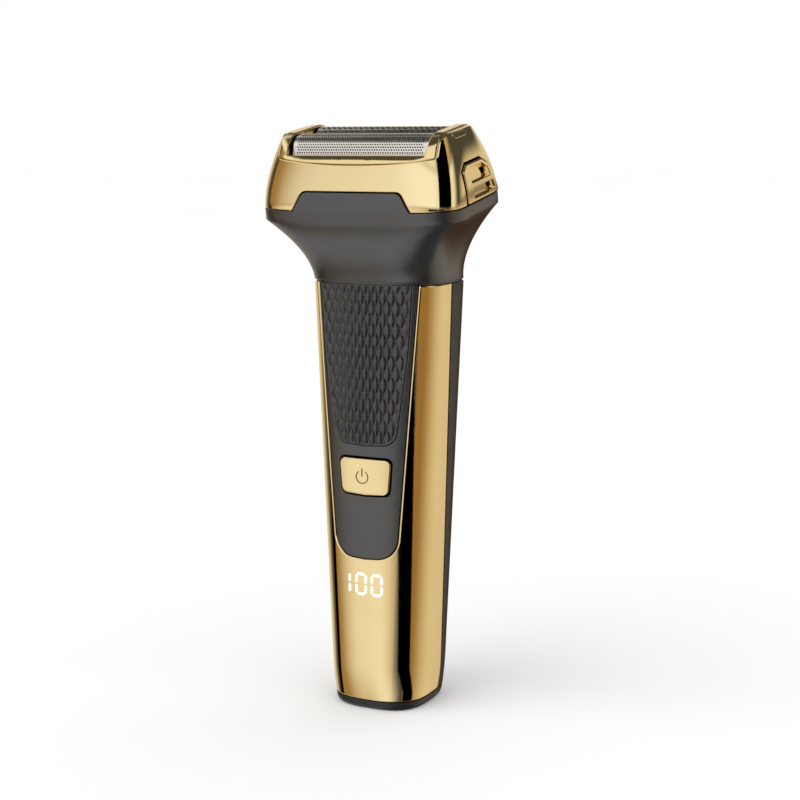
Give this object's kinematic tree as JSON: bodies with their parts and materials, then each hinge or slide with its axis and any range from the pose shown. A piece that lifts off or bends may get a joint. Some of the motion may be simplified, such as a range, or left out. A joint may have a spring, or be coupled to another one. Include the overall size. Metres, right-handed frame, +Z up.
{
  "type": "foil shaver",
  "caption": "Cordless foil shaver: gold and grey handle with grip pad, power button and charge display, flared neck, lift-off head and twin floating foils.",
  "frame": {"origin": "centre of the flat face the shaver stands on, under the handle's axis", "axes": "+Z up along the handle to the foils, -Y towards the user's side with the button, +X to the right seen from that side"},
  "size_m": [0.0592, 0.0392, 0.1607],
  "materials": {
    "gold": "mirror-bright gold plating on moulded plastic",
    "grey_body": "soft-touch satin dark grey",
    "grip": "moulded scale-pattern rubber",
    "display": "glowing white light pipes",
    "inner_plastic": "moulded black",
    "white_plastic": "low-friction white moulding",
    "board": "solder-masked board",
    "cell": "shrink-wrapped steel can",
    "steel": "plain",
    "blade": "ground",
    "foil": "bright electroformed nickel, perforated",
    "seal": "plain black"
  },
  "bodies": {
    "handle": {"front_shell": "gold", "rear_shell": "grey_body", "control_panel": "grey_body", "grip_pad": "grip", "display_digits": "display", "led_display": "inner_plastic", "circuit_board": "board", "tact_switch": "steel", "battery_cell": "cell", "battery_tabs": "steel", "chassis": "inner_plastic", "motor_can": "steel", "motor_screws": "steel", "charge_socket": "steel", "base_cap": "grey_body", "top_plate": "inner_plastic", "top_plate_screws": "steel", "shaft_seal": "seal"},
    "rotor": {"motor_shaft": "steel", "crank_disc": "white_plastic", "crank_pin": "steel"},
    "button": {"power_button": "gold"},
    "head_base": {"head_neck": "grey_body", "socket_plate": "inner_plastic", "head_deck": "inner_plastic", "deck_screws": "steel", "guide_rods": "steel"},
    "oscillator": {"oscillator_yoke": "white_plastic", "front_spring": "steel", "rear_spring": "steel"},
    "front_cutter": {"front_cutter_carrier": "white_plastic", "front_cutter_blades": "blade"},
    "rear_cutter": {"rear_cutter_carrier": "white_plastic", "rear_cutter_blades": "blade"},
    "foil_head": {"head_shroud": "gold", "foil_frame": "gold", "centre_bar": "blade"},
    "front_foil_unit": {"front_foil": "foil", "front_foil_saddles": "inner_plastic"},
    "rear_foil_unit": {"rear_foil": "foil", "rear_foil_saddles": "inner_plastic"},
    "left_release": {"release_left": "gold"},
    "right_release": {"release_right": "gold"}
  },
  "joints": [
    {"name": "motor_spin", "type": "hinge", "parent": "handle", "child": "rotor", "pos_m": [0, -0.0025, 0.11], "axis": [0, 0, 1], "continuous": true},
    {"name": "power_press", "type": "slide", "parent": "handle", "child": "button", "axis": [0, 1, 0], "range_m": [0, 0.0005], "stiffness_N_per_m": 1500, "springref_m": -0.0005},
    {"name": "head_lift", "type": "slide", "parent": "handle", "child": "head_base", "axis": [0, 0, 1], "range_m": [0, 0.03]},
    {"name": "oscillate", "type": "slide", "parent": "head_base", "child": "oscillator", "axis": [1, 0, 0], "range_m": [-0.0012, 0.0012]},
    {"name": "front_cutter_float", "type": "slide", "parent": "oscillator", "child": "front_cutter", "axis": [0, -0.165, 0.9863], "range_m": [-0.001, 0], "stiffness_N_per_m": 400, "springref_m": 0.0015, "deforming": ["front_spring"]},
    {"name": "rear_cutter_float", "type": "slide", "parent": "oscillator", "child": "rear_cutter", "axis": [0, -0.165, 0.9863], "range_m": [-0.001, 0], "stiffness_N_per_m": 400, "springref_m": 0.0015, "deforming": ["rear_spring"]},
    {"name": "foil_head_lift", "type": "slide", "parent": "head_base", "child": "foil_head", "axis": [0, -0.165, 0.9863], "range_m": [0, 0.03]},
    {"name": "front_foil_float", "type": "slide", "parent": "foil_head", "child": "front_foil_unit", "axis": [0, -0.165, 0.9863], "range_m": [-0.001, 0]},
    {"name": "rear_foil_float", "type": "slide", "parent": "foil_head", "child": "rear_foil_unit", "axis": [0, -0.165, 0.9863], "range_m": [-0.001, 0]},
    {"name": "left_release_press", "type": "slide", "parent": "foil_head", "child": "left_release", "axis": [1, 0, 0], "range_m": [0, 0.0008], "stiffness_N_per_m": 800, "springref_m": -0.0006},
    {"name": "right_release_press", "type": "slide", "parent": "foil_head", "child": "right_release", "axis": [-1, 0, 0], "range_m": [0, 0.0008], "stiffness_N_per_m": 800, "springref_m": -0.0006}
  ],
  "couplings": [
    {"joint": "front_foil_float", "follows": "front_cutter_float", "ratio": 1},
    {"joint": "rear_foil_float", "follows": "rear_cutter_float", "ratio": 1}
  ]
}
